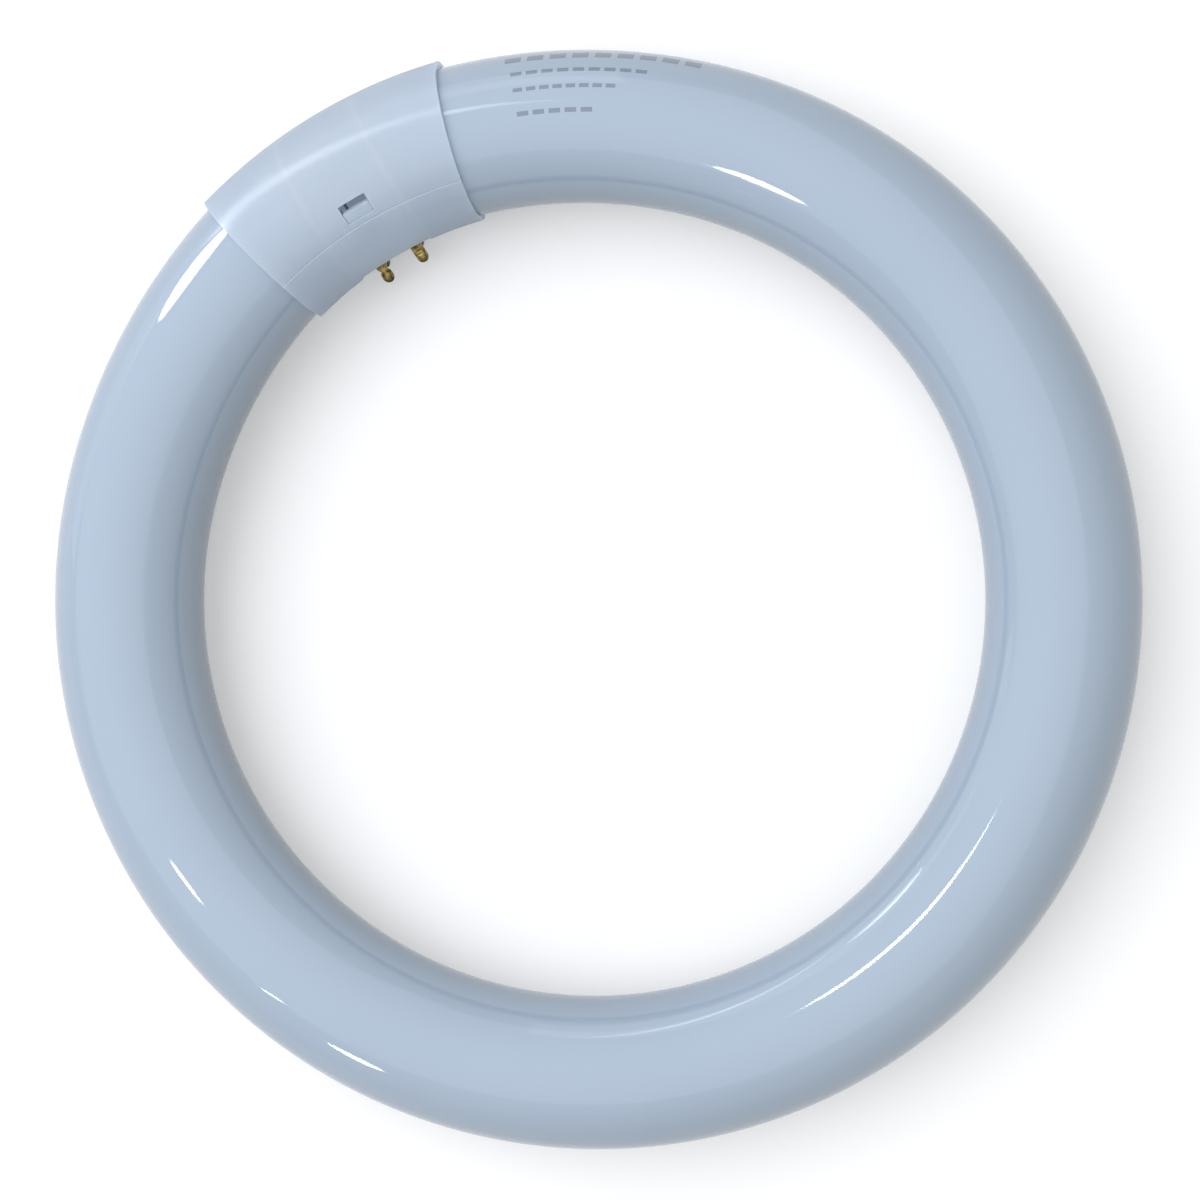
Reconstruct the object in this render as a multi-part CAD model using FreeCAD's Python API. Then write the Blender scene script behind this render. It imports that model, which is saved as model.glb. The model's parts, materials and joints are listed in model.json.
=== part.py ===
import FreeCAD, Part
import math
import os

from FreeCAD import Placement, Rotation, Vector

# Circular fluorescent tube: a sealed glass ring whose two ends meet in a plastic cap with four pins.
# Millimetres. The origin is the centre of the glass ring, in its middle plane. +Z is the upper side,
# and the cap lies at +Y with its pins pointing towards the ring's centre and down.
# A bearing is an angle about Z, counted from +Y towards +X.

# Glass ring
ring_radius = 90.5          # middle line of the round part
tube_radius = 14.5
leg_radius = 100.0          # middle line of the two flatter legs beside the cap
leg_bearing = 45.0          # where the legs leave the round part

# Glass ends, closed by a flared stem
shoulder_radius = 5.0
rim_width = 1.0             # flat round the funnel's mouth
funnel_cone_depth = 7.0
funnel_depth = 13.0
stub_radius = 1.8           # exhaust tube in the middle of the funnel, melted shut at its tip
stub_tip_radius = 0.7
stub_tip_length = 2.4
stub_setback = 1.0          # its tip lies this far inside the glass end
stem_wall_gap = 1.1         # between a lead wire and the funnel's wall

# Cap
cap_length = 45.5           # along its middle line
cap_arc_radius = 86.0       # middle line
cap_clearance = 0.12        # between the glass and the cap's bore
cap_wall = 0.82
seam_chamfer = 0.2
rib_height = 3.0
rib_thickness = 0.9
rib_gap = 0.6               # between a rib and the glass rim that it stops

# Pin land, the flat that the lamp holder meets
pin_tilt = 40.0             # of the pins below the ring's plane
land_depth = 3.03           # below the round of the cap
land_length = 16.0
land_plate = 2.0            # thickness of the wall that carries the pins

# Pins
pin_radius = 1.175
pin_length = 7.15           # beyond the land
pin_spacing_along = 7.92
pin_spacing_across = 6.35
pin_tip_length = 0.7
pin_tip_radius = 0.65
shank_radius = 1.45         # in the land's wall
shank_fit = 0.02
flange_radius = 2.1
flange_thickness = 0.6
crimp_start = 3.4           # beyond the land
crimp_length = 1.8
crimp_half_width = 0.72     # half the pin's width across the crimp
crimp_set_in = 0.01         # the long half width stays this much inside the pin's round
crimp_turns = (0.0, 90.0, 90.0, 0.0)

# Lead wires
wire_radius = 0.3
wire_fit = 0.05             # in the pin's bore
wire_bend = 3.0
wire_seat_gap = 0.02        # at the funnel's floor

# Snap tongues of the inner shell, in windows of the outer shell
window_length = 6.3         # along the cap
window_start = 1.25         # from the seam
window_width = 3.9
tongue_clearance = 0.2
tongue_thickness = 1.2
tongue_root = 3.0           # overlap with the inner shell
hook_width = 2.0
hook_setback = 0.15         # below the round of the cap

up = Vector(0, 0, 1)
along = Vector(1, 0, 0)


def bearing_vector(bearing):
    """Unit vector in the ring's plane at a bearing."""
    angle = math.radians(bearing)
    return Vector(math.sin(angle), math.cos(angle), 0)


def tangent_vector(bearing):
    """Unit vector along the ring at a bearing, away from the cap on the +X side."""
    return bearing_vector(bearing + 90)


# Middle line of the leg on the +X side
leg_centre = bearing_vector(leg_bearing) * (ring_radius - leg_radius)
land_half = land_length / 2
rib_outer_x = land_half + rib_thickness
glass_lean = math.asin((rib_outer_x - leg_centre.x) / leg_radius)
glass_end_x = rib_outer_x + rib_gap + (tube_radius - shoulder_radius) * math.tan(glass_lean)
shoulder_bearing = math.degrees(math.asin((glass_end_x + shoulder_radius - leg_centre.x) / leg_radius))
into_glass = tangent_vector(shoulder_bearing)
shoulder_start = leg_centre + bearing_vector(shoulder_bearing) * leg_radius
glass_end = shoulder_start - into_glass * shoulder_radius

# Middle line of the cap: it crosses the leg's middle line halfway along what the cap covers
cap_half_angle = math.degrees(cap_length / 2 / cap_arc_radius)
cap_end_x = cap_arc_radius * math.sin(math.radians(cap_half_angle))
crossing_x = (glass_end_x + cap_end_x) / 2
crossing_y = leg_centre.y + math.sqrt(leg_radius ** 2 - (crossing_x - leg_centre.x) ** 2)
cap_arc_centre = Vector(0, crossing_y - math.sqrt(cap_arc_radius ** 2 - crossing_x ** 2), 0)
cap_middle = cap_arc_centre + Vector(0, cap_arc_radius, 0)


def leg_offset(x):
    """Distance from the cap's middle line to the leg's at one X."""
    y = leg_centre.y + math.sqrt(leg_radius ** 2 - (x - leg_centre.x) ** 2)
    return abs(Vector(x, y, 0).distanceToPoint(cap_arc_centre) - cap_arc_radius)


cap_bore_radius = tube_radius + max(leg_offset(glass_end_x), leg_offset(cap_end_x)) + cap_clearance
cap_outer_radius = cap_bore_radius + cap_wall
wall_middle_radius = cap_bore_radius + cap_wall / 2

pin_dir = Vector(0, -math.cos(math.radians(pin_tilt)), -math.sin(math.radians(pin_tilt)))
across_dir = Vector(0, -math.sin(math.radians(pin_tilt)), math.cos(math.radians(pin_tilt)))
land_distance = cap_outer_radius - land_depth
land_place = Placement(cap_middle + pin_dir * land_distance, Rotation(along, 90 + pin_tilt))
crimp_end = crimp_start + crimp_length
wire_reach = crimp_start + crimp_length / 2


def line(start, end):
    return Part.LineSegment(start, end).toShape()


def arc(start, middle, end):
    return Part.Arc(start, middle, end).toShape()


def face_of(edges):
    return Part.Face(Part.Wire(edges))


def both_sides(shape):
    """A shape and its mirror image across the cap's middle."""
    return [shape, shape.mirror(Vector(0, 0, 0), along)]


# Glass

def tube_arc(centre, radius, start, end):
    """Solid tube along an arc from one bearing to another."""
    rim = Part.makeCircle(tube_radius, centre + bearing_vector(start) * radius, tangent_vector(start))
    return face_of([rim]).revolve(centre, up, start - end)


def end_point(depth, radius):
    """Point of the glass end's section: a depth into the glass and a radius from its axis."""
    return glass_end + into_glass * depth + up * radius


def end_revolve(edges):
    return face_of(edges).revolve(glass_end, into_glass, 360)


def glass_shoulder():
    """The closed end: the tube's wall rolls in over a rounded shoulder."""
    flat = tube_radius - shoulder_radius
    inward = shoulder_radius * (1 - math.sqrt(0.5))
    round_start = end_point(shoulder_radius, tube_radius)
    round_middle = end_point(inward, tube_radius - inward)
    return end_revolve([
        arc(round_start, round_middle, end_point(0, flat)),
        line(end_point(0, flat), end_point(0, 0)),
        line(end_point(0, 0), end_point(shoulder_radius, 0)),
        line(end_point(shoulder_radius, 0), round_start),
    ])


def stem_funnel():
    """The hollow of the flared stem, around the exhaust stub."""
    mouth = tube_radius - shoulder_radius - rim_width
    throat = pin_spacing_across / 2 + wire_radius + stem_wall_gap
    profile = [
        (0, 0),
        (0, mouth),
        (funnel_cone_depth, throat),
        (funnel_depth, throat),
        (funnel_depth, stub_radius),
        (stub_setback + stub_tip_length, stub_radius),
        (stub_setback, stub_tip_radius),
        (stub_setback, 0),
    ]
    corners = [end_point(*place) for place in profile]
    return end_revolve([line(a, b) for a, b in zip(corners, corners[1:] + corners[:1])])


def glass_tube():
    ring = tube_arc(Vector(0, 0, 0), ring_radius, leg_bearing, 360 - leg_bearing)
    leg = tube_arc(leg_centre, leg_radius, shoulder_bearing, leg_bearing)
    tube = ring.fuse(both_sides(leg) + both_sides(glass_shoulder())).removeSplitter()
    return tube.cut(both_sides(stem_funnel()))


# Cap. In its middle section an angle is counted from the pins' direction towards the upper seam,
# so the inner shell runs from -90 to 90 degrees and the outer shell from 90 to 270.

def cap_point(radius, angle):
    turn = math.radians(angle)
    return cap_middle + pin_dir * (radius * math.cos(turn)) + across_dir * (radius * math.sin(turn))


def cap_arc(radius, start, end):
    return arc(cap_point(radius, start), cap_point(radius, (start + end) / 2), cap_point(radius, end))


def ring_sector(inner, outer, start, end):
    """Face of the middle section between two radii and two angles."""
    return face_of([
        cap_arc(outer, start, end),
        line(cap_point(outer, end), cap_point(inner, end)),
        cap_arc(inner, end, start),
        line(cap_point(inner, start), cap_point(outer, start)),
    ])


def shell_section(start, end):
    """Wall of one shell, with a small chamfer along each seam."""
    low = cap_outer_radius - seam_chamfer
    step = math.degrees(seam_chamfer / cap_outer_radius)
    return face_of([
        cap_arc(cap_outer_radius, start + step, end - step),
        line(cap_point(cap_outer_radius, end - step), cap_point(low, end)),
        line(cap_point(low, end), cap_point(cap_bore_radius, end)),
        cap_arc(cap_bore_radius, end, start),
        line(cap_point(cap_bore_radius, start), cap_point(low, start)),
        line(cap_point(low, start), cap_point(cap_outer_radius, start + step)),
    ])


def swing(face, half_angle):
    """Solid made by turning a section face to both sides about the cap's arc centre."""
    start = face.copy()
    start.rotate(cap_arc_centre, up, -half_angle)
    return start.revolve(cap_arc_centre, up, 2 * half_angle)


def swing_angle(length):
    """Half angle that covers a length along the cap's middle line."""
    return math.degrees(length / 2 / cap_arc_radius)


def land_block(half_length, half_width, near, far):
    """Block square to the pins: near and far are distances from the land, outwards positive."""
    block = Part.makeBox(2 * half_length, 2 * half_width, far - near, Vector(-half_length, -half_width, near))
    block.Placement = land_place
    return block


def ribs(start, end):
    """Two ribs inside a shell that stop the glass ends and close the land's recess."""
    band = swing(ring_sector(cap_bore_radius - rib_height, wall_middle_radius, start, end), cap_half_angle)
    height = 4 * cap_outer_radius
    corner = cap_middle + Vector(land_half, -height / 2, -height / 2)
    cutter = Part.makeBox(rib_thickness, height, height, corner)
    return both_sides(band.common(cutter))


def window_angles():
    """Angles of a snap window's two sides, beyond the seam."""
    start = math.degrees(window_start / cap_outer_radius)
    return start, start + math.degrees(window_width / cap_outer_radius)


def cap_outer_shell():
    shell = swing(shell_section(90, 270), cap_half_angle)
    first, last = window_angles()
    inner = cap_bore_radius - rib_height
    outer = cap_outer_radius + cap_wall
    windows = []
    for seam, side in ((90, 1), (270, -1)):
        face = ring_sector(inner, outer, seam + side * first, seam + side * last)
        windows.append(swing(face, swing_angle(window_length)))
    return shell.fuse(ribs(90, 270)).cut(windows)


def snap_tongue(side):
    """Tongue that reaches under the outer shell, with its hook in the window."""
    first, last = window_angles()
    gap = math.degrees(tongue_clearance / cap_outer_radius)
    hook = math.degrees(hook_width / cap_outer_radius)
    root = math.degrees(tongue_root / cap_outer_radius)
    top = cap_bore_radius - tongue_clearance
    bottom = top - tongue_thickness
    spans = [
        (bottom, top, 90 - root, 90 + first + gap + hook),
        (bottom, wall_middle_radius, 90 - root, 90 - gap),
        (bottom, cap_outer_radius - hook_setback, 90 + first + gap, 90 + first + gap + hook),
    ]
    half_angle = swing_angle(window_length - 2 * tongue_clearance)
    pieces = [swing(ring_sector(low, high, side * a, side * b), half_angle) for low, high, a, b in spans]
    return pieces[0].fuse(pieces[1:])


def pin_centres():
    """Places of the four pins on the land: along the cap, then across it."""
    half_along = pin_spacing_along / 2
    half_across = pin_spacing_across / 2
    return [(sx * half_along, sy * half_across) for sx in (1, -1) for sy in (1, -1)]


def pin_land():
    """Flat wall that carries the pins, between the two ribs."""
    half_disc = face_of([cap_arc(wall_middle_radius, -90, 90),
                         line(cap_point(wall_middle_radius, 90), cap_point(wall_middle_radius, -90))])
    plate = land_block(rib_outer_x, 2 * cap_outer_radius, -land_plate, 0)
    return swing(half_disc, cap_half_angle).common(plate)


def cap_inner_shell():
    shell = swing(shell_section(-90, 90), cap_half_angle)
    recess = land_block(land_half, 2 * cap_outer_radius, 0, 2 * land_depth)
    shell = shell.fuse(ribs(-90, 90)).cut(recess)
    shell = shell.fuse([pin_land(), snap_tongue(1), snap_tongue(-1)])
    holes = []
    for x, y in pin_centres():
        hole = Part.makeCylinder(shank_radius + shank_fit, 3 * land_plate, Vector(x, y, -2 * land_plate))
        hole.Placement = land_place
        holes.append(hole)
    return shell.cut(holes).removeSplitter()


# Pins, built on their own axis from the land outwards

def crimp(turn):
    """Squeezed stretch of a pin: round at both ends and flattened in the middle."""
    wide = pin_radius - crimp_set_in
    flat = Part.Ellipse(Vector(0, 0, wire_reach), wide, crimp_half_width).toShape()
    flat.rotate(Vector(0, 0, 0), up, turn)
    ends = [Part.makeCircle(pin_radius, up * height) for height in (crimp_start, crimp_end)]
    return Part.makeLoft([Part.Wire([edge]) for edge in (ends[0], flat, ends[1])], True)


def contact_pin(turn):
    base = -land_plate
    tip_start = pin_length - pin_tip_length
    pieces = [
        Part.makeCylinder(flange_radius, flange_thickness, up * (base - flange_thickness)),
        Part.makeCylinder(shank_radius, land_plate, up * base),
        Part.makeCylinder(pin_radius, crimp_start),
        crimp(turn),
        Part.makeCylinder(pin_radius, tip_start - crimp_end, up * crimp_end),
        Part.makeCone(pin_radius, pin_tip_radius, pin_tip_length, up * tip_start),
    ]
    bore_length = wire_reach + wire_fit - base + flange_thickness
    bore = Part.makeCylinder(wire_radius + wire_fit, bore_length, up * (base - flange_thickness))
    return pieces[0].fuse(pieces[1:]).cut(bore)


def lead_wire(across):
    """Wire from the funnel's floor to the crimp of a pin on the +X side."""
    side = across_dir - into_glass * across_dir.dot(into_glass)
    side.normalize()
    start = glass_end + into_glass * (funnel_depth - wire_seat_gap) + side * across
    corner = cap_middle + along * (pin_spacing_along / 2) + across_dir * across
    end = corner + pin_dir * (land_distance + wire_reach)
    incoming = (corner - start).normalize()
    half_turn = incoming.getAngle(pin_dir) / 2
    setback = wire_bend * math.tan(half_turn)
    bend_start = corner - incoming * setback
    bend_end = corner + pin_dir * setback
    inward = (pin_dir - incoming).normalize()
    bend_middle = corner + inward * (wire_bend / math.cos(half_turn) - wire_bend)
    path = Part.Wire([line(start, bend_start), arc(bend_start, bend_middle, bend_end), line(bend_end, end)])
    section = Part.Wire([Part.makeCircle(wire_radius, start, incoming)])
    return path.makePipeShell([section], True, False)


def write(name, shape):
    solids = shape.Solids
    if len(solids) != 1 or not solids[0].isValid():
        raise ValueError(f"{name} has {len(solids)} solids")
    solids[0].exportStep(f"parts/{name}.step")
    box = solids[0].optimalBoundingBox(False)
    print(f"{name}: {solids[0].Volume:.1f} mm3, x {box.XMin:.2f} {box.XMax:.2f}, "
          f"y {box.YMin:.2f} {box.YMax:.2f}, z {box.ZMin:.2f} {box.ZMax:.2f}")


def main():
    os.makedirs("parts", exist_ok=True)
    write("glass_tube", glass_tube())
    write("cap_outer_shell", cap_outer_shell())
    write("cap_inner_shell", cap_inner_shell())
    for number, ((x, y), turn) in enumerate(zip(pin_centres(), crimp_turns), start=1):
        pin = contact_pin(turn)
        pin.Placement = land_place * Placement(Vector(x, y, 0), Rotation())
        write(f"contact_pin_{number}", pin)
        wire = lead_wire(y)
        if x < 0:
            wire = wire.mirror(Vector(0, 0, 0), along)
        write(f"lead_wire_{number}", wire)
    for x, y in pin_centres():
        place = land_place.multVec(Vector(x, y, 0))
        print(f"pin at the land: {place.x:.3f} {place.y:.3f} {place.z:.3f}")


main()
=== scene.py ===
import json
import math

import bmesh
import bpy
from mathutils import Matrix, Vector


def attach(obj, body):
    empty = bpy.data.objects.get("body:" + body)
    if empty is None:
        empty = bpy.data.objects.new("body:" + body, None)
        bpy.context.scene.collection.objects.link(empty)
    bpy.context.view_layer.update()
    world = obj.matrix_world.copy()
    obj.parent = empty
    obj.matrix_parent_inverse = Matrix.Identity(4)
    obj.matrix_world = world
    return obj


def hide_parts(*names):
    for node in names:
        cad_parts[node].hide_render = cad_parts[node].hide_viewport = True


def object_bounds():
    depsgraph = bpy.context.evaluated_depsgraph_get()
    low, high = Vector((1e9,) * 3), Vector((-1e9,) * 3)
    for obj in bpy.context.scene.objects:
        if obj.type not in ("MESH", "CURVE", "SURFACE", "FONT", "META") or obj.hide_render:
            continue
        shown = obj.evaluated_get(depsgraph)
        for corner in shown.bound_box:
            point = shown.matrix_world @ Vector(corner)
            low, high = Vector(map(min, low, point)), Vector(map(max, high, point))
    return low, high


# Circular fluorescent tube, lying on a white floor. Metres, in the same frame as the CAD model:
# the origin is the centre of the glass ring, +Z is its upper side and the cap lies at +Y.
# A bearing is an angle about Z, counted from +Y towards +X.
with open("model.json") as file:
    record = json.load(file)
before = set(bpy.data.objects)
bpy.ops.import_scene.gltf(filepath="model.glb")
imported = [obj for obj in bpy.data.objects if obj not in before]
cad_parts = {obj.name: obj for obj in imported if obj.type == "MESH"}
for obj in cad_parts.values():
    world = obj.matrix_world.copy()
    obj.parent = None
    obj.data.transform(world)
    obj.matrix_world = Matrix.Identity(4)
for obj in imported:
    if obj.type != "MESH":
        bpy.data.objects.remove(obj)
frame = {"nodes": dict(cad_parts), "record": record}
cad_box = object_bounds()

MM = 0.001
MERGE = 0.001 * MM  # points this close are one
ROUNDING_STEPS = 8
ORIGIN = Vector((0, 0, 0))
X_AXIS = Vector((1, 0, 0))
Z_AXIS = Vector((0, 0, 1))

# Glass: a round bend, a straighter leg on each side of the cap, and a rounded shoulder at each end
TUBE_RADIUS = 14.5 * MM
RING_RADIUS = 90.5 * MM
LEG_RADIUS = 100 * MM
LEG_BEARING = math.radians(45)
SHOULDER_BEARING = math.radians(13.13)
SHOULDER_RADIUS = 5 * MM
TUBE_SIDES = 96
RING_STEPS = 132
LEG_STEPS = 32

# Funnel of the stem in each end of the glass, with the exhaust stub in its middle
MOUTH_RADIUS = 8.5 * MM
FUNNEL_CONE_DEPTH = 7 * MM
FUNNEL_DEPTH = 13 * MM
FUNNEL_THROAT = 4.575 * MM
FUNNEL_BEND = 1 * MM
STUB_RADIUS = 1.8 * MM
STUB_SHOULDER = 3.4 * MM
STUB_TIP_RADIUS = 0.7 * MM
STUB_TIP_ROUNDING = 0.3 * MM
STUB_SETBACK = 1 * MM
GLASS_EDGE = 0.4 * MM

# Pins: the mounts give their places, and the land is a flat across their axis
PIN_MOUNTS = [mount for mount in frame["record"]["mounts"] if mount["kind"] == "pin"]
PIN_AXIS = Vector(PIN_MOUNTS[0]["axis"])
PIN_LAND = PIN_AXIS.dot(Vector(PIN_MOUNTS[0]["pos_m"]))
PIN_RADIUS = 1.175 * MM
PIN_LENGTH = 7.15 * MM
PIN_SIDES = 48
TIP_LENGTH = 0.7 * MM
TIP_RADIUS = 0.65 * MM
TIP_SHOULDER = 0.35 * MM
TIP_ROUNDING = 0.3 * MM
SHANK_RADIUS = 1.45 * MM
SHANK_EDGE = 0.05 * MM
LAND_PLATE = 2 * MM
FLANGE_RADIUS = 2.1 * MM
FLANGE_THICKNESS = 0.6 * MM
FLANGE_EDGE = 0.1 * MM
BORE_RADIUS = 0.35 * MM
CRIMP_START = 3.4 * MM
CRIMP_LENGTH = 1.8 * MM
CRIMP_MIDDLE = CRIMP_START + CRIMP_LENGTH / 2
CRIMP_HALF_WIDTH = 0.72 * MM
CRIMP_STEPS = 12
CRIMP_TURNS = (0, 90, 90, 0)  # degrees, for each pin in turn

# Cap: its middle line is an arc of its own, centred a little way from the origin towards the cap
CAP_RADIUS = 15.78 * MM
CAP_ARC_RADIUS = 86 * MM
CAP_ARC_CENTRE = 6.06 * MM
RIB_PLACE = 8.45 * MM
MOULDED_EDGE = 0.12 * MM
SHARP_EDGE = math.radians(35)
FLAT_SEAM = math.radians(0.3)

# Marks on the glass, rows of plain dashes: radius, height, first dash, end, and dashes in a whole turn
DASH_ROWS = (
    (102.8 * MM, 1.3 * MM, 9, 18, 150),
    (99.4 * MM, 0.8 * MM, 13, 22, 210),
    (96.0 * MM, 0.8 * MM, 15, 23, 240),
    (91.3 * MM, 0.9 * MM, 12, 17, 190),
)
DASH_SHARE = 0.72
INK_COVER = 0.55

# Photograph: the cap lies this far anticlockwise of its top, and the camera's place is in its axes
PHOTO_TURN = math.radians(29.4)
FROM_PHOTO = Matrix.Rotation(-PHOTO_TURN, 4, "Z")
CAMERA_PLACE = Vector((71.4, -1.0, 474.3)) * MM
CAMERA_PITCH = math.radians(0.12)
CAMERA_YAW = math.radians(8.2)
CAMERA_LENS = 75
CAMERA_CLIP = 10 * MM


def bearing_vector(bearing):
    return Vector((math.sin(bearing), math.cos(bearing), 0))


# Mesh tools

def everything(bm):
    return list(bm.verts) + list(bm.edges) + list(bm.faces)


def add_to(bm, other):
    """Moves the geometry of one bmesh into another."""
    mesh = bpy.data.meshes.new("part")
    other.to_mesh(mesh)
    other.free()
    bm.from_mesh(mesh)
    bpy.data.meshes.remove(mesh)


def spin(bm, geom, centre, angle, steps):
    """Spins geometry about an upright axis and returns its last copy."""
    made = bmesh.ops.spin(bm, geom=geom, cent=centre, axis=Z_AXIS, angle=angle, steps=steps, use_merge=False)
    return made["geom_last"]


def turned(outline, sides):
    """Turns an outline of (distance along Z, radius, rounding) points about Z into one skin."""
    bm = bmesh.new()
    corners = [bm.verts.new((0, radius, along)) for along, radius, _ in outline]
    for pair in zip(corners, corners[1:]):
        bm.edges.new(pair)
    for corner, (_, _, rounding) in zip(corners, outline):
        if rounding:
            bmesh.ops.bevel(bm, geom=[corner], offset=rounding, offset_type="OFFSET", segments=ROUNDING_STEPS,
                            profile=0.5, affect="VERTICES", material=-1)
    bmesh.ops.spin(bm, geom=list(bm.verts) + list(bm.edges), cent=ORIGIN, axis=Z_AXIS, angle=math.tau,
                   steps=sides, use_merge=True)
    bmesh.ops.remove_doubles(bm, verts=bm.verts, dist=MERGE)
    return bm


def finished(name, bm, material, node):
    """Makes a bmesh the object that stands for a CAD node and rides on the part."""
    bmesh.ops.recalc_face_normals(bm, faces=bm.faces)
    for face in bm.faces:
        face.smooth = True
    mesh = bpy.data.meshes.new(name)
    bm.to_mesh(mesh)
    bm.free()
    mesh.materials.append(material)
    piece = bpy.data.objects.new(name, mesh)
    bpy.context.scene.collection.objects.link(piece)
    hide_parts(node)
    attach(piece, "root")
    return piece


# Pieces

def glass_ring(material):
    """The tube, spun round half the ring and one leg, closed over the stem's funnel and mirrored."""
    bm = bmesh.new()
    upright = Matrix.Translation((0, -RING_RADIUS, 0)) @ Matrix.Rotation(math.pi / 2, 4, "Y")
    bmesh.ops.create_circle(bm, cap_ends=False, segments=TUBE_SIDES, radius=TUBE_RADIUS, matrix=upright)
    ring_end = spin(bm, everything(bm), ORIGIN, math.pi - LEG_BEARING, RING_STEPS)
    leg_centre = bearing_vector(LEG_BEARING) * (RING_RADIUS - LEG_RADIUS)
    spin(bm, ring_end, leg_centre, LEG_BEARING - SHOULDER_BEARING, LEG_STEPS)

    end = turned([
        (SHOULDER_RADIUS, TUBE_RADIUS, 0),
        (0, TUBE_RADIUS, SHOULDER_RADIUS),
        (0, MOUTH_RADIUS, GLASS_EDGE),
        (FUNNEL_CONE_DEPTH, FUNNEL_THROAT, FUNNEL_BEND),
        (FUNNEL_DEPTH, FUNNEL_THROAT, GLASS_EDGE),
        (FUNNEL_DEPTH, STUB_RADIUS, GLASS_EDGE),
        (STUB_SHOULDER, STUB_RADIUS, GLASS_EDGE),
        (STUB_SETBACK, STUB_TIP_RADIUS, STUB_TIP_ROUNDING),
        (STUB_SETBACK, 0, 0),
    ], TUBE_SIDES)
    into_glass = bearing_vector(SHOULDER_BEARING + math.pi / 2)
    glass_end = leg_centre + bearing_vector(SHOULDER_BEARING) * LEG_RADIUS - into_glass * SHOULDER_RADIUS
    place = Matrix.Translation(glass_end) @ into_glass.to_track_quat("Z", "Y").to_matrix().to_4x4()
    bmesh.ops.transform(end, matrix=place, verts=end.verts)
    add_to(bm, end)
    bmesh.ops.remove_doubles(bm, verts=bm.verts, dist=MERGE)
    bmesh.ops.mirror(bm, geom=everything(bm), axis="X", merge_dist=MERGE)
    finished("glass_ring", bm, material, "glass_tube")


def moulding(name, node, material):
    """A shell of the cap: the CAD piece with its triangles merged and its sharp edges rounded as moulded."""
    bm = bmesh.new()
    bm.from_mesh(frame["nodes"][node].data)
    bmesh.ops.remove_doubles(bm, verts=bm.verts, dist=MERGE)
    bmesh.ops.dissolve_limit(bm, angle_limit=FLAT_SEAM, verts=bm.verts, edges=bm.edges)
    sharp = [edge for edge in bm.edges if len(edge.link_faces) == 2 and edge.calc_face_angle() > SHARP_EDGE]
    bmesh.ops.bevel(bm, geom=sharp, offset=MOULDED_EDGE, offset_type="OFFSET", segments=2, profile=0.5,
                    affect="EDGES", material=-1, clamp_overlap=True)
    piece = finished(name, bm, material, node)
    weighted = piece.modifiers.new("weighted_normals", "WEIGHTED_NORMAL")
    weighted.keep_sharp = True


def contact_pin(name, place, axis, crimp_turn, material):
    """Drawn brass pin: flange and shank behind the land, a crimp squeezed flat and a rounded tip."""
    flange_back = -LAND_PLATE - FLANGE_THICKNESS
    crimp = [CRIMP_START + CRIMP_LENGTH * step / CRIMP_STEPS for step in range(CRIMP_STEPS + 1)]
    bm = turned([
        (CRIMP_MIDDLE, 0, 0),
        (CRIMP_MIDDLE, BORE_RADIUS, 0),
        (flange_back, BORE_RADIUS, 0),
        (flange_back, FLANGE_RADIUS, FLANGE_EDGE),
        (-LAND_PLATE, FLANGE_RADIUS, FLANGE_EDGE),
        (-LAND_PLATE, SHANK_RADIUS, 0),
        (0, SHANK_RADIUS, SHANK_EDGE),
        (0, PIN_RADIUS, 0),
        *[(along, PIN_RADIUS, 0) for along in crimp],
        (PIN_LENGTH - TIP_LENGTH, PIN_RADIUS, TIP_SHOULDER),
        (PIN_LENGTH, TIP_RADIUS, TIP_ROUNDING),
        (PIN_LENGTH, 0, 0),
    ], PIN_SIDES)
    between_skins = (BORE_RADIUS + PIN_RADIUS) / 2
    for vert in bm.verts:
        depth = 1 - abs(vert.co.z - CRIMP_MIDDLE) / (CRIMP_LENGTH / 2)
        if depth > 0 and vert.co.xy.length > between_skins:
            squeeze = 0.5 - 0.5 * math.cos(math.pi * depth)
            vert.co.y *= 1 - squeeze * (1 - CRIMP_HALF_WIDTH / PIN_RADIUS)
    tilt = math.atan2(-axis.z, -axis.y)
    out = Matrix.Rotation(math.pi / 2 + tilt, 4, "X") @ Matrix.Rotation(crimp_turn, 4, "Z")
    bmesh.ops.transform(bm, matrix=Matrix.Translation(place) @ out, verts=bm.verts)
    finished(name + "_turned", bm, material, name)


def contact_pins(material):
    for mount, turn in zip(PIN_MOUNTS, CRIMP_TURNS):
        place = Vector(mount["pos_m"])
        contact_pin("contact_" + mount["name"], place, Vector(mount["axis"]), math.radians(turn), material)


def lead_wires(material):
    """The CAD wires stay as they are and get their material."""
    for name, node in frame["nodes"].items():
        if name.startswith("lead_wire"):
            node.data.materials.clear()
            node.data.materials.append(material)


# Materials

def linear(hex_colour):
    """An sRGB hex colour as linear RGBA."""
    parts = [int(hex_colour[i:i + 2], 16) / 255 for i in (1, 3, 5)]
    return tuple(c / 12.92 if c <= 0.04045 else ((c + 0.055) / 1.055) ** 2.4 for c in parts) + (1.0,)


def add_node(tree, kind, inputs=None, **settings):
    """Adds a node with its settings. inputs maps a socket to a value or to another node's output."""
    made = tree.nodes.new(kind)
    for name, value in settings.items():
        setattr(made, name, value)
    for socket, value in (inputs or {}).items():
        if isinstance(value, bpy.types.NodeSocket):
            tree.links.new(value, made.inputs[socket])
        else:
            made.inputs[socket].default_value = value
    return made


def new_material(name):
    """An empty node material and its tree."""
    material = bpy.data.materials.new(name)
    material.use_nodes = True
    material.node_tree.nodes.clear()
    return material, material.node_tree


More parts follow.
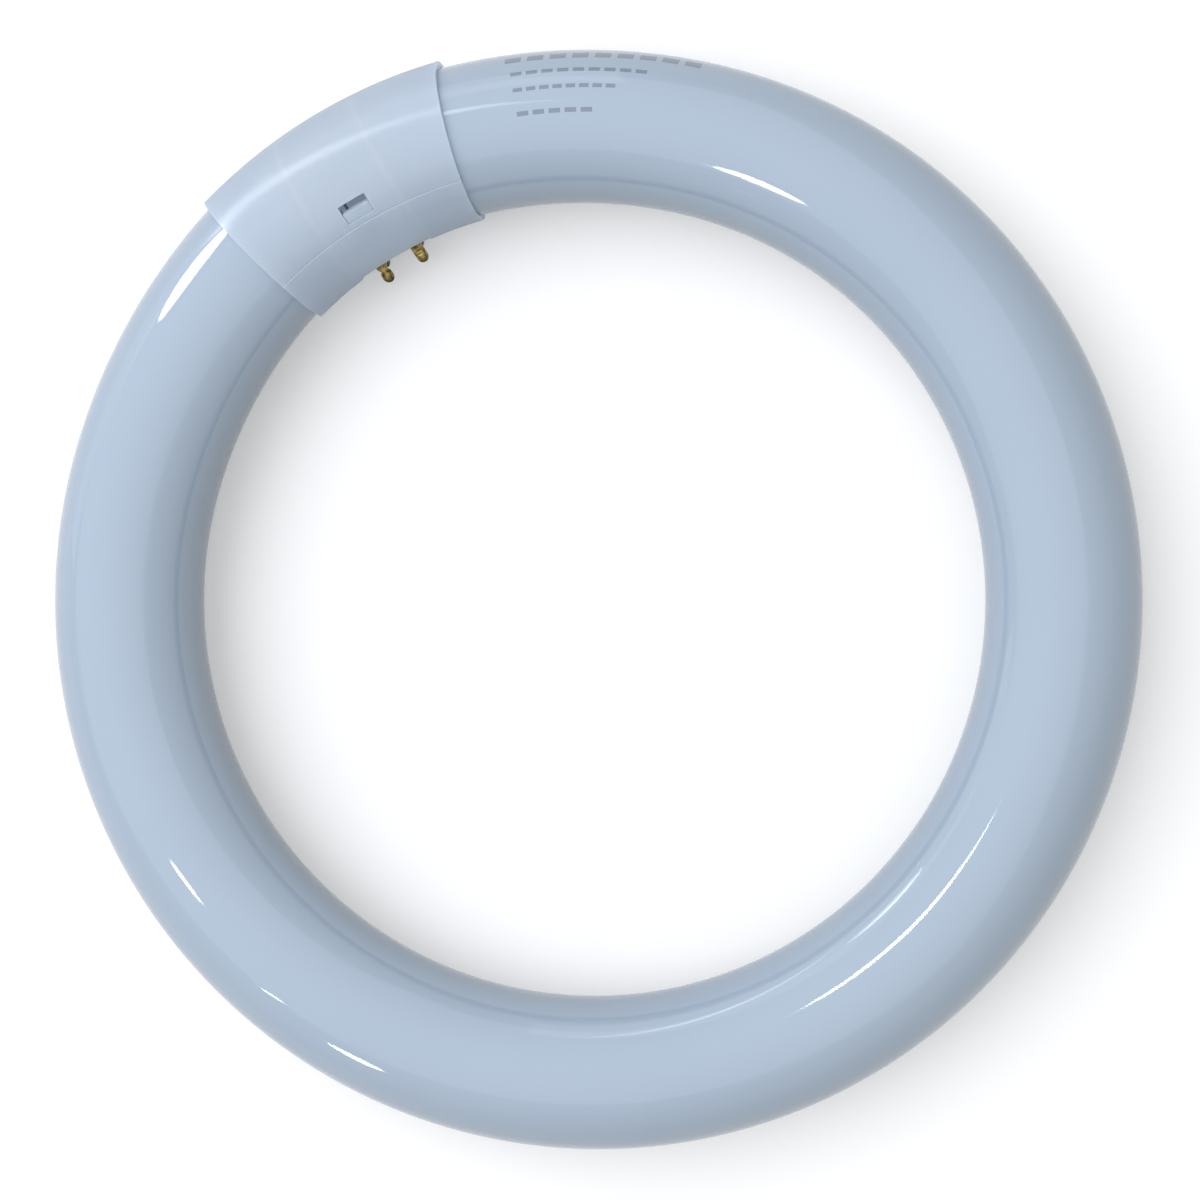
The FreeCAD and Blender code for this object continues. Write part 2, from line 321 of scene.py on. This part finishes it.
def printed_dashes(tree, place):
    """1 on the rows of dashes and 0 elsewhere, on the upper side of the glass only."""
    parts = add_node(tree, "ShaderNodeSeparateXYZ", {"Vector": place}).outputs
    flat = add_node(tree, "ShaderNodeCombineXYZ", {"X": parts["X"], "Y": parts["Y"]})
    radius = add_node(tree, "ShaderNodeVectorMath", {0: flat.outputs[0]}, operation="LENGTH")
    bearing = add_node(tree, "ShaderNodeMath", {0: parts["X"], 1: parts["Y"]}, operation="ARCTAN2")
    marks = 0.0
    for row_radius, height, first, end, dashes in DASH_ROWS:
        in_row = add_node(tree, "ShaderNodeMath", {0: radius.outputs["Value"], 1: row_radius, 2: height / 2},
                          operation="COMPARE")
        count = add_node(tree, "ShaderNodeMath", {0: bearing.outputs[0], 1: dashes / math.tau},
                         operation="MULTIPLY").outputs[0]
        in_span = add_node(tree, "ShaderNodeMath", {0: count, 1: (first + end) / 2, 2: (end - first) / 2},
                           operation="COMPARE")
        share = add_node(tree, "ShaderNodeMath", {0: count}, operation="FRACT")
        in_dash = add_node(tree, "ShaderNodeMath", {0: share.outputs[0], 1: DASH_SHARE},
                           operation="LESS_THAN")
        mark = add_node(tree, "ShaderNodeMath", {0: in_row.outputs[0], 1: in_span.outputs[0]},
                        operation="MULTIPLY")
        marks = add_node(tree, "ShaderNodeMath", {0: mark.outputs[0], 1: in_dash.outputs[0], 2: marks},
                         operation="MULTIPLY_ADD").outputs[0]
    above = add_node(tree, "ShaderNodeMath", {0: parts["Z"], 1: 0.0}, operation="GREATER_THAN")
    return add_node(tree, "ShaderNodeMath", {0: marks, 1: above.outputs[0]}, operation="MULTIPLY").outputs[0]


def blown_coated_glass():
    """Blown soda-lime glass on a white phosphor coat: a chalky body under a hard, slightly wavy gloss."""
    coat_patch = 40 * MM  # the coat lies a little thicker and thinner in patches
    wave_length = 25 * MM  # waves that bending left in the hot tube
    wave_depth = 0.12 * MM
    material, tree = new_material("blown_coated_glass")
    place = add_node(tree, "ShaderNodeTexCoord").outputs["Object"]
    cloud = add_node(tree, "ShaderNodeTexNoise", {"Vector": place, "Scale": 1 / coat_patch, "Detail": 3.0})
    coat = add_node(tree, "ShaderNodeMix", {"Factor": cloud.outputs["Fac"], "A": linear("#b6c3d2"),
                                            "B": linear("#bcc9d7")}, data_type="RGBA")
    dashes = printed_dashes(tree, place)
    ink = add_node(tree, "ShaderNodeMath", {0: dashes, 1: INK_COVER}, operation="MULTIPLY")
    marked = add_node(tree, "ShaderNodeMix", {"Factor": ink.outputs[0], "A": coat.outputs["Result"],
                                              "B": linear("#59616a")}, data_type="RGBA")
    waves = add_node(tree, "ShaderNodeTexNoise", {"Vector": place, "Scale": 1 / wave_length, "Detail": 1.0})
    gloss = add_node(tree, "ShaderNodeBump", {"Height": waves.outputs["Fac"], "Distance": wave_depth,
                                              "Strength": 1.0})
    body = add_node(tree, "ShaderNodeBsdfPrincipled", {
        "Base Color": marked.outputs["Result"], "Roughness": 0.6, "Specular IOR Level": 0.0,
        "Coat Weight": 1.0, "Coat Roughness": 0.04, "Coat IOR": 1.5, "Coat Tint": linear("#e9eef2"),
        "Coat Normal": gloss.outputs["Normal"]})
    add_node(tree, "ShaderNodeOutputMaterial", {"Surface": body.outputs[0]})
    return material


def moulded_white_plastic():
    """Injection-moulded white polycarbonate: milky, with a soft satin shine and a paler band of painted light
    over each rib behind the wall.
    """
    flow_patch = 12 * MM  # the melt cooled a little unevenly
    rib_half_width = 0.3 * MM  # painted light: a paler band with soft sides over each rib behind the wall, standing in for the light that the rib scatters back
    rib_blur = 0.6 * MM
    painted_rib_light_strength = 0.35
    milkiness = 0.52  # the share of the light that goes through
    # The mould's grain is too fine to show, so it is drawn about ten times as coarse
    grain_width = 0.25 * MM
    grain_depth = 0.004 * MM
    material, tree = new_material("moulded_white_plastic")
    place = add_node(tree, "ShaderNodeTexCoord").outputs["Object"]
    cloud = add_node(tree, "ShaderNodeTexNoise", {"Vector": place, "Scale": 1 / flow_patch, "Detail": 3.0})
    tint = add_node(tree, "ShaderNodeMix", {"Factor": cloud.outputs["Fac"], "A": linear("#cdd9e5"),
                                            "B": linear("#d3dee9")}, data_type="RGBA")
    across = add_node(tree, "ShaderNodeSeparateXYZ", {"Vector": place}).outputs["X"]
    from_middle = add_node(tree, "ShaderNodeMath", {0: across}, operation="ABSOLUTE")
    beyond_rib = add_node(tree, "ShaderNodeMath", {0: from_middle.outputs[0], 1: RIB_PLACE},
                          operation="SUBTRACT")
    from_rib = add_node(tree, "ShaderNodeMath", {0: beyond_rib.outputs[0]}, operation="ABSOLUTE")
    # Painted light: the colour is paler where a rib stands behind the wall, for the light that the rib
    # scatters back
    rib = add_node(tree, "ShaderNodeMapRange", {"Value": from_rib.outputs[0], "From Min": rib_half_width,
                                                "From Max": rib_half_width + rib_blur,
                                                "To Min": painted_rib_light_strength, "To Max": 0.0},
                   interpolation_type="SMOOTHSTEP")
    tint_and_painted_rib_light = add_node(tree, "ShaderNodeMix", {"Factor": rib.outputs["Result"], "A": tint.outputs["Result"],
                                            "B": linear("#e6edf4")}, data_type="RGBA")
    grain = add_node(tree, "ShaderNodeTexNoise", {"Vector": place, "Scale": 1 / grain_width, "Detail": 2.0})
    satin = add_node(tree, "ShaderNodeBump", {"Height": grain.outputs["Fac"], "Distance": grain_depth,
                                              "Strength": 1.0})
    skin = add_node(tree, "ShaderNodeBsdfPrincipled", {
        "Base Color": tint_and_painted_rib_light.outputs["Result"], "Roughness": 0.22, "IOR": 1.58,
        "Normal": satin.outputs["Normal"]})
    glow = add_node(tree, "ShaderNodeBsdfTranslucent", {"Color": linear("#f3f8fd")})
    wall = add_node(tree, "ShaderNodeMixShader", {"Fac": milkiness, 1: skin.outputs[0], 2: glow.outputs[0]})
    add_node(tree, "ShaderNodeOutputMaterial", {"Surface": wall.outputs[0]})
    return material


def drawn_brass():
    """Drawn and crimped brass: gold round the crimp, and darker away from it with tarnish, painted shade near
    the cap and painted dark reflections.
    """
    # Painted shade and painted dark reflections, mixed with real tarnish: the metal darkens away from the
    # crimp both ways, in uneven patches
    gold_reach = 0.6 * MM  # from the crimp's middle
    tarnish_and_shade_start = 2.6 * MM
    tarnish_and_reflection_patch = 0.9 * MM
    gold_share_at_crimp = 0.7  # the share of the metal shown gold, free of tarnish, painted shade and painted dark reflections
    gold_share_beyond = 0.12
    unevenness = 0.3
    material, tree = new_material("drawn_brass")
    place = add_node(tree, "ShaderNodeTexCoord").outputs["Object"]
    along = add_node(tree, "ShaderNodeVectorMath", {0: place, 1: PIN_AXIS}, operation="DOT_PRODUCT")
    beyond = add_node(tree, "ShaderNodeMath", {0: along.outputs["Value"], 1: PIN_LAND + CRIMP_MIDDLE},
                      operation="SUBTRACT")
    from_crimp = add_node(tree, "ShaderNodeMath", {0: beyond.outputs[0]}, operation="ABSOLUTE")
    gold_along_pin = add_node(tree, "ShaderNodeMapRange", {"Value": from_crimp.outputs[0], "From Min": gold_reach,
                                                 "From Max": tarnish_and_shade_start, "To Min": gold_share_at_crimp,
                                                 "To Max": gold_share_beyond}, interpolation_type="SMOOTHSTEP")
    patch = add_node(tree, "ShaderNodeTexNoise", {"Vector": place, "Scale": 1 / tarnish_and_reflection_patch, "Detail": 4.0})
    uneven_tarnish_and_reflection = add_node(tree, "ShaderNodeMapRange", {"Value": patch.outputs["Fac"], "From Min": 0.35,
                                                   "From Max": 0.65, "To Min": -unevenness,
                                                   "To Max": unevenness})
    gold_share = add_node(tree, "ShaderNodeMath", {0: gold_along_pin.outputs["Result"], 1: uneven_tarnish_and_reflection.outputs["Result"]},
                    operation="ADD", use_clamp=True)
    # dark end: tarnish with painted shade and painted dark reflections; gold end: bare brass
    tint = add_node(tree, "ShaderNodeMix", {"Factor": gold_share.outputs[0], "A": linear("#1e1a10"),
                                            "B": linear("#a8935a")}, data_type="RGBA")
    body = add_node(tree, "ShaderNodeBsdfPrincipled", {"Base Color": tint.outputs["Result"], "Metallic": 1.0,
                                                       "Roughness": 0.25})
    add_node(tree, "ShaderNodeOutputMaterial", {"Surface": body.outputs[0]})
    return material


def drawn_nickel_wire():
    """Nickel-plated wire: plain grey metal with a drawn satin finish."""
    plating_patch = 0.8 * MM
    material, tree = new_material("drawn_nickel_wire")
    place = add_node(tree, "ShaderNodeTexCoord").outputs["Object"]
    patch = add_node(tree, "ShaderNodeTexNoise", {"Vector": place, "Scale": 1 / plating_patch, "Detail": 2.0})
    tint = add_node(tree, "ShaderNodeMix", {"Factor": patch.outputs["Fac"], "A": linear("#8f8c84"),
                                            "B": linear("#b9b6ae")}, data_type="RGBA")
    body = add_node(tree, "ShaderNodeBsdfPrincipled", {"Base Color": tint.outputs["Result"], "Metallic": 1.0,
                                                       "Roughness": 0.3})
    add_node(tree, "ShaderNodeOutputMaterial", {"Surface": body.outputs[0]})
    return material


# Surroundings: what the camera and the gloss see is white, and what lights the object is dimmer

WHITE = "#ffffff"
SEEN_FLOOR = "#e7e7e7"
LIGHTING_FLOOR = "#807663"
FLOOR_GLOW = 0.3
FLOOR_REACH = 3
AMBIENT = 0.66

SOFTBOX_COLOUR = "#f4f7ff"
WALL_COLOUR = "#f2f8ff"
STRIP_COLOUR = "#f6fcff"
STRIP_RADIANCE = 30

# The ceiling's near right corner. Three panels, each a step further out, give it a soft edge there
CEILING_CORNER = Vector((0.75, -0.95, 1.2))
CEILING_STEP = Vector((0.12, -0.12, 0))
CEILING_SIZE = 4.4
CEILING_RADIANCE = 0.75

# A bend that mirrors the strips, as the centre and radius of its middle line and its section's radius
TUBE_BEND = (ORIGIN, RING_RADIUS, TUBE_RADIUS)
CAP_BEND = (FROM_PHOTO.inverted() @ Vector((0, CAP_ARC_CENTRE, 0)), CAP_ARC_RADIUS, CAP_RADIUS)


def white_when_seen(tree, dim, bright):
    """The bright shader for what the camera or a reflection sees, the dim one for what lights the object."""
    ray = add_node(tree, "ShaderNodeLightPath").outputs
    seen = add_node(tree, "ShaderNodeMath", {0: ray["Is Camera Ray"], 1: ray["Is Glossy Ray"]},
                    operation="MAXIMUM")
    seen = add_node(tree, "ShaderNodeMath", {0: seen.outputs[0], 1: ray["Is Transmission Ray"]},
                    operation="MAXIMUM")
    return add_node(tree, "ShaderNodeMixShader", {"Fac": seen.outputs[0], 1: dim.outputs[0],
                                                  2: bright.outputs[0]})


def white_floor():
    """A sheet under the object, clear from below. It keeps the shadow, and a faint glow makes it white."""
    bm = bmesh.new()
    bmesh.ops.create_grid(bm, x_segments=1, y_segments=1, size=FLOOR_REACH)
    bmesh.ops.translate(bm, vec=(0, 0, cad_box[0].z), verts=bm.verts)
    mesh = bpy.data.meshes.new("floor")
    bm.to_mesh(mesh)
    bm.free()
    material, tree = new_material("white_floor")
    dim = add_node(tree, "ShaderNodeBsdfDiffuse", {"Color": linear(LIGHTING_FLOOR)})
    paper = add_node(tree, "ShaderNodeBsdfDiffuse", {"Color": linear(SEEN_FLOOR)})
    glow = add_node(tree, "ShaderNodeEmission", {"Color": linear(WHITE), "Strength": FLOOR_GLOW})
    bright = add_node(tree, "ShaderNodeAddShader", {0: paper.outputs[0], 1: glow.outputs[0]})
    above = white_when_seen(tree, dim, bright)
    side = add_node(tree, "ShaderNodeNewGeometry").outputs["Backfacing"]
    clear = add_node(tree, "ShaderNodeBsdfTransparent")
    sheet = add_node(tree, "ShaderNodeMixShader", {"Fac": side, 1: above.outputs[0], 2: clear.outputs[0]})
    add_node(tree, "ShaderNodeOutputMaterial", {"Surface": sheet.outputs[0]})
    mesh.materials.append(material)
    floor = bpy.data.objects.new("floor", mesh)
    bpy.context.scene.collection.objects.link(floor)


def white_world():
    """The air around: white where it is seen, and a little dimmer as light on the object."""
    world = bpy.data.worlds.new("white_world")
    bpy.context.scene.world = world
    world.use_nodes = True
    tree = world.node_tree
    tree.nodes.clear()
    dim = add_node(tree, "ShaderNodeBackground", {"Color": linear(WHITE), "Strength": AMBIENT})
    bright = add_node(tree, "ShaderNodeBackground", {"Color": linear(WHITE), "Strength": 1.0})
    seen = white_when_seen(tree, dim, bright)
    add_node(tree, "ShaderNodeOutputWorld", {"Surface": seen.outputs[0]})


def lamp(name, place, aim, size, radiance, colour, long_side=X_AXIS, spread=math.pi, lights=True,
         shows=True, shape="RECTANGLE"):
    """A lamp panel, placed and aimed in the photograph's axes. size is its length and its width.

    spread narrows its beam with its brightness kept. lights says that it lights matt surfaces, and shows
    that it is mirrored in glossy ones.
    """
    light = bpy.data.lights.new(name, "AREA")
    light.shape = shape
    light.size, light.size_y = size
    area = size[0] * size[1] * (math.pi / 4 if shape == "ELLIPSE" else 1)
    half = spread / 2
    beam = 1 - half / math.tan(half)
    light.energy = radiance * math.pi * area * beam
    light.spread = spread
    light.color = linear(colour)[:3]
    made = bpy.data.objects.new(name, light)
    bpy.context.scene.collection.objects.link(made)
    back = (Vector(place) - Vector(aim)).normalized()
    across = back.cross(long_side).normalized()
    along = across.cross(back)
    turn = Matrix((along, across, back)).transposed().to_4x4()
    made.matrix_world = FROM_PHOTO @ Matrix.Translation(place) @ turn
    made.visible_camera = False
    made.visible_diffuse = lights
    made.visible_glossy = shows


def mirrored(bend, bearing, tilt, distance):
    """A place on a bend, where its surface leans out by tilt, and the place that the camera sees in it."""
    centre, middle_radius, section_radius = bend
    out = bearing_vector(math.radians(bearing))
    normal = out * math.sin(math.radians(tilt)) + Z_AXIS * math.cos(math.radians(tilt))
    point = centre + out * middle_radius + normal * section_radius
    sight = (CAMERA_PLACE - point).normalized()
    return point, point + (2 * normal.dot(sight) * normal - sight) * distance


def strip_lamp(name, start, end, width, spread, radiance=STRIP_RADIANCE, bend=TUBE_BEND, distance=0.5):
    """A strip lamp that mirrors in a bend as a streak between two (bearing, tilt) places, in degrees.

    Across the bend the mirror image is narrower than the lamp, by twice the distance over the bend's
    section radius, so the lamp is made that much wider than the streak.
    """
    start_point, start_lamp = mirrored(bend, *start, distance)
    end_point, end_lamp = mirrored(bend, *end, distance)
    _, _, section_radius = bend
    size = ((end_lamp - start_lamp).length, width * 2 * distance / section_radius)
    lamp(name, (start_lamp + end_lamp) / 2, (start_point + end_point) / 2, size, radiance, STRIP_COLOUR,
         long_side=end_lamp - start_lamp, spread=math.radians(spread), lights=False, shape="ELLIPSE")


def lamps():
    """A softbox lights the object. The wall, the ceiling and the strips only mirror in its gloss."""
    lamp("softbox", place=(-0.65, 0.29, 1.09), aim=ORIGIN, size=(1.6, 1.6), radiance=1.65,
         colour=SOFTBOX_COLOUR, shows=False)
    lamp("far_wall", place=(-2.4, 2.4, 0.8), aim=ORIGIN, size=(6.0, 1.6), radiance=0.8, colour=WALL_COLOUR,
         lights=False)
    to_middle = Vector((-1, 1, 0)) * CEILING_SIZE / 2
    for step in (-1, 0, 1):
        middle = CEILING_CORNER + CEILING_STEP * step + to_middle
        lamp(f"ceiling_{step + 2}", place=middle, aim=middle - Z_AXIS, size=(CEILING_SIZE, CEILING_SIZE),
             radiance=CEILING_RADIANCE, colour=WALL_COLOUR, lights=False)
    strip_lamp("strip_on_cap", start=(-50.0, 32.0), end=(4.0, 8.0), width=0.87 * MM, spread=60, radiance=13,
               bend=CAP_BEND, distance=0.15)
    strip_lamp("strip_beside_cap", start=(-44.5, 24.4), end=(-56.5, 20.0), width=2.4 * MM, spread=36,
               distance=0.15)
    strip_lamp("strip_top", start=(20.4, -26.2), end=(28.4, -22.8), width=0.7 * MM, spread=30)
    strip_lamp("strip_right", start=(129.6, -16.5), end=(143.6, -15.2), width=0.9 * MM, spread=36)
    strip_lamp("strip_left", start=(-123.5, 5.4), end=(-128.1, 5.9), width=0.8 * MM, spread=24)
    strip_lamp("strip_low_left", start=(-142.0, 16.4), end=(-143.0, 16.6), width=0.9 * MM, spread=13)
    strip_lamp("strip_bottom", start=(-152.2, 21.5), end=(-156.0, 23.7), width=1.0 * MM, spread=13)


def camera():
    """The photograph's camera."""
    made = bpy.data.objects.new("camera", bpy.data.cameras.new("camera"))
    made.data.lens = CAMERA_LENS
    made.data.clip_start = CAMERA_CLIP
    turn = Matrix.Rotation(CAMERA_PITCH, 4, "X") @ Matrix.Rotation(CAMERA_YAW, 4, "Y")
    made.matrix_world = FROM_PHOTO @ Matrix.Translation(CAMERA_PLACE) @ turn
    bpy.context.scene.collection.objects.link(made)
    bpy.context.scene.camera = made


glass = blown_coated_glass()
plastic = moulded_white_plastic()
brass = drawn_brass()
nickel = drawn_nickel_wire()

glass_ring(glass)
moulding("cap_back", "cap_outer_shell", plastic)
moulding("cap_front", "cap_inner_shell", plastic)
contact_pins(brass)
lead_wires(nickel)

white_floor()
white_world()
lamps()
camera()

bpy.context.scene.view_settings.view_transform = "Standard"
